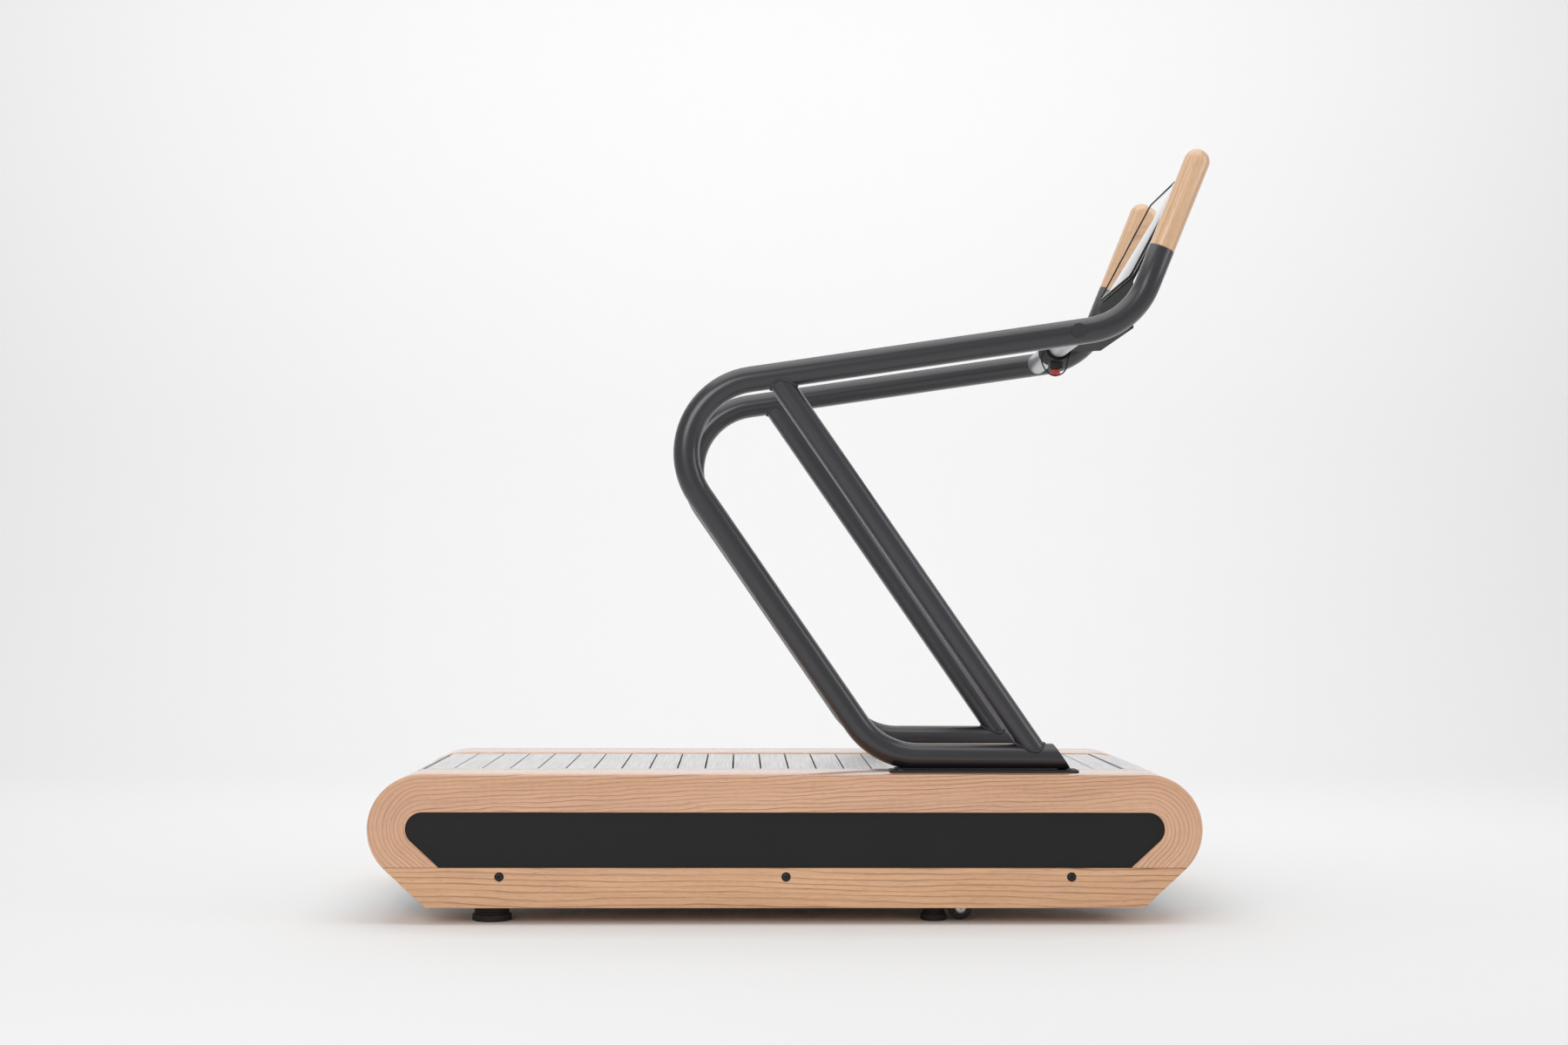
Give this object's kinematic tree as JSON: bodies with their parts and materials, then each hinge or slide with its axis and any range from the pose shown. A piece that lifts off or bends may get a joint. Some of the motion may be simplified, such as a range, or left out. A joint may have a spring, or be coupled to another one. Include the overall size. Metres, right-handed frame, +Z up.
{
  "type": "manual slat treadmill",
  "caption": "Motorless treadmill with a slat belt on bearings between wooden sides, and a bent tube hand frame with wooden grips and a tilting display.",
  "frame": {"origin": "centre of the whole object's bounding box, on the floor plane under the feet", "axes": "+X to the front, the way the runner faces, +Y to the runner's left, +Z up"},
  "size_m": [1.7675, 0.83, 1.6362],
  "materials": {
    "arch_wood": "satin lacquered",
    "rail_wood": "satin lacquered",
    "panel_black": "matte",
    "black_screws": "satin",
    "inner_steel": "brushed",
    "band_rubber": "matte",
    "frame_black": "satin powder coat",
    "plate_black": "satin",
    "grip_wood": "satin lacquered",
    "crossbar_silver": "satin",
    "foot_rubber": "matte",
    "pulley_aluminium": "machined",
    "slat_aluminium": "fine brushed",
    "roller_plastic": "moulded",
    "display_glass": "gloss",
    "bracket_black": "satin",
    "block_plastic": "matte",
    "lanyard_cord": "matte",
    "knob_red": "satin",
    "wheel_rubber": "matte"
  },
  "bodies": {
    "frame": {"left_side_arch": "arch_wood", "left_bottom_rail": "rail_wood", "left_inset_panel": "panel_black", "left_side_screws": "black_screws", "left_side_plate": "inner_steel", "left_track_rail": "inner_steel", "left_drive_band": "band_rubber", "left_frame_tube": "frame_black", "left_brace": "frame_black", "left_foot_plate": "plate_black", "left_grip": "grip_wood", "right_side_arch": "arch_wood", "right_bottom_rail": "rail_wood", "right_inset_panel": "panel_black", "right_side_screws": "black_screws", "right_side_plate": "inner_steel", "right_track_rail": "inner_steel", "right_drive_band": "band_rubber", "right_frame_tube": "frame_black", "right_brace": "frame_black", "right_foot_plate": "plate_black", "right_grip": "grip_wood", "rear_cross_tube": "inner_steel", "middle_cross_tube": "inner_steel", "front_cross_tube": "inner_steel", "roller_studs": "inner_steel", "axle_bearings": "inner_steel", "plate_bolts": "black_screws", "crossbar": "crossbar_silver", "crossbar_caps": "black_screws", "rubber_feet": "foot_rubber", "wheel_brackets": "plate_black", "wheel_pins": "inner_steel"},
    "front_drum": {"front_axle": "inner_steel", "front_pulleys": "pulley_aluminium"},
    "rear_drum": {"rear_axle": "inner_steel", "rear_pulleys": "pulley_aluminium"},
    "belt_top": {"belt_top_slats": "slat_aluminium"},
    "belt_front": {"belt_front_slats": "slat_aluminium"},
    "belt_bottom": {"belt_bottom_slats": "slat_aluminium"},
    "belt_rear": {"belt_rear_slats": "slat_aluminium"},
    "track_roller_1": {"track_roller_1": "roller_plastic"},
    "track_roller_2": {"track_roller_2": "roller_plastic"},
    "track_roller_3": {"track_roller_3": "roller_plastic"},
    "track_roller_4": {"track_roller_4": "roller_plastic"},
    "track_roller_5": {"track_roller_5": "roller_plastic"},
    "track_roller_6": {"track_roller_6": "roller_plastic"},
    "track_roller_7": {"track_roller_7": "roller_plastic"},
    "track_roller_8": {"track_roller_8": "roller_plastic"},
    "return_roller_1": {"return_roller_1": "roller_plastic"},
    "return_roller_2": {"return_roller_2": "roller_plastic"},
    "return_roller_3": {"return_roller_3": "roller_plastic"},
    "display": {"display_panel": "display_glass", "display_bracket": "bracket_black", "lock_block": "block_plastic", "lock_lanyard": "lanyard_cord"},
    "lock_knob": {"lock_knob": "knob_red"},
    "left_wheel": {"left_wheel": "wheel_rubber"},
    "right_wheel": {"right_wheel": "wheel_rubber"}
  },
  "joints": [
    {"name": "belt_travel", "type": "slide", "parent": "frame", "child": "belt_top", "axis": [1, 0, 0], "range_m": [-0.009, 0.051]},
    {"name": "belt_return", "type": "slide", "parent": "frame", "child": "belt_bottom", "axis": [1, 0, 0], "range_m": [-0.0515, 0.0095]},
    {"name": "belt_front_turn", "type": "hinge", "parent": "frame", "child": "belt_front", "pos_m": [0.73125, 0, 0.19671], "axis": [0, 1, 0], "range_deg": [-5.6, 30.9]},
    {"name": "belt_rear_turn", "type": "hinge", "parent": "frame", "child": "belt_rear", "pos_m": [-0.76875, 0, 0.19671], "axis": [0, 1, 0], "range_deg": [-5.6, 30.9]},
    {"name": "front_drum_turn", "type": "hinge", "parent": "frame", "child": "front_drum", "pos_m": [0.73125, 0, 0.19671], "axis": [0, 1, 0], "continuous": true},
    {"name": "rear_drum_turn", "type": "hinge", "parent": "frame", "child": "rear_drum", "pos_m": [-0.76875, 0, 0.19671], "axis": [0, 1, 0], "continuous": true},
    {"name": "track_roller_1_turn", "type": "hinge", "parent": "frame", "child": "track_roller_1", "pos_m": [-0.57875, 0, 0.2689], "axis": [0, 1, 0], "continuous": true},
    {"name": "track_roller_2_turn", "type": "hinge", "parent": "frame", "child": "track_roller_2", "pos_m": [-0.41875, 0, 0.2689], "axis": [0, 1, 0], "continuous": true},
    {"name": "track_roller_3_turn", "type": "hinge", "parent": "frame", "child": "track_roller_3", "pos_m": [-0.25875, 0, 0.2689], "axis": [0, 1, 0], "continuous": true},
    {"name": "track_roller_4_turn", "type": "hinge", "parent": "frame", "child": "track_roller_4", "pos_m": [-0.09875, 0, 0.2689], "axis": [0, 1, 0], "continuous": true},
    {"name": "track_roller_5_turn", "type": "hinge", "parent": "frame", "child": "track_roller_5", "pos_m": [0.06125, 0, 0.2689], "axis": [0, 1, 0], "continuous": true},
    {"name": "track_roller_6_turn", "type": "hinge", "parent": "frame", "child": "track_roller_6", "pos_m": [0.22125, 0, 0.2689], "axis": [0, 1, 0], "continuous": true},
    {"name": "track_roller_7_turn", "type": "hinge", "parent": "frame", "child": "track_roller_7", "pos_m": [0.38125, 0, 0.2689], "axis": [0, 1, 0], "continuous": true},
    {"name": "track_roller_8_turn", "type": "hinge", "parent": "frame", "child": "track_roller_8", "pos_m": [0.54125, 0, 0.2689], "axis": [0, 1, 0], "continuous": true},
    {"name": "return_roller_1_turn", "type": "hinge", "parent": "frame", "child": "return_roller_1", "pos_m": [-0.51875, 0, 0.07011], "axis": [0, 1, 0], "continuous": true},
    {"name": "return_roller_2_turn", "type": "hinge", "parent": "frame", "child": "return_roller_2", "pos_m": [-0.01875, 0, 0.07011], "axis": [0, 1, 0], "continuous": true},
    {"name": "return_roller_3_turn", "type": "hinge", "parent": "frame", "child": "return_roller_3", "pos_m": [0.48125, 0, 0.07011], "axis": [0, 1, 0], "continuous": true},
    {"name": "display_tilt", "type": "hinge", "parent": "frame", "child": "display", "pos_m": [0.59969, 0, 1.24279], "axis": [0, 1, 0], "range_deg": [-10, 15]},
    {"name": "lock_knob_turn", "type": "hinge", "parent": "display", "child": "lock_knob", "pos_m": [0.59969, 0, 1.19279], "axis": [0, 0, 1], "range_deg": [0, 180]},
    {"name": "left_wheel_turn", "type": "hinge", "parent": "frame", "child": "left_wheel", "pos_m": [0.34925, 0.33, 0.0255], "axis": [0, 1, 0], "continuous": true},
    {"name": "right_wheel_turn", "type": "hinge", "parent": "frame", "child": "right_wheel", "pos_m": [0.34925, -0.33, 0.0255], "axis": [0, 1, 0], "continuous": true}
  ],
  "couplings": [
    {"joint": "belt_return", "follows": "belt_travel", "ratio": -1},
    {"joint": "belt_front_turn", "follows": "belt_travel", "rad_per_m": 10.472},
    {"joint": "belt_rear_turn", "follows": "belt_travel", "rad_per_m": 10.472},
    {"joint": "front_drum_turn", "follows": "belt_travel", "rad_per_m": 10.472},
    {"joint": "rear_drum_turn", "follows": "belt_travel", "rad_per_m": 10.472},
    {"joint": "track_roller_1_turn", "follows": "belt_travel", "rad_per_m": 50},
    {"joint": "track_roller_2_turn", "follows": "belt_travel", "rad_per_m": 50},
    {"joint": "track_roller_3_turn", "follows": "belt_travel", "rad_per_m": 50},
    {"joint": "track_roller_4_turn", "follows": "belt_travel", "rad_per_m": 50},
    {"joint": "track_roller_5_turn", "follows": "belt_travel", "rad_per_m": 50},
    {"joint": "track_roller_6_turn", "follows": "belt_travel", "rad_per_m": 50},
    {"joint": "track_roller_7_turn", "follows": "belt_travel", "rad_per_m": 50},
    {"joint": "track_roller_8_turn", "follows": "belt_travel", "rad_per_m": 50},
    {"joint": "return_roller_1_turn", "follows": "belt_travel", "rad_per_m": -66.667},
    {"joint": "return_roller_2_turn", "follows": "belt_travel", "rad_per_m": -66.667},
    {"joint": "return_roller_3_turn", "follows": "belt_travel", "rad_per_m": -66.667}
  ]
}
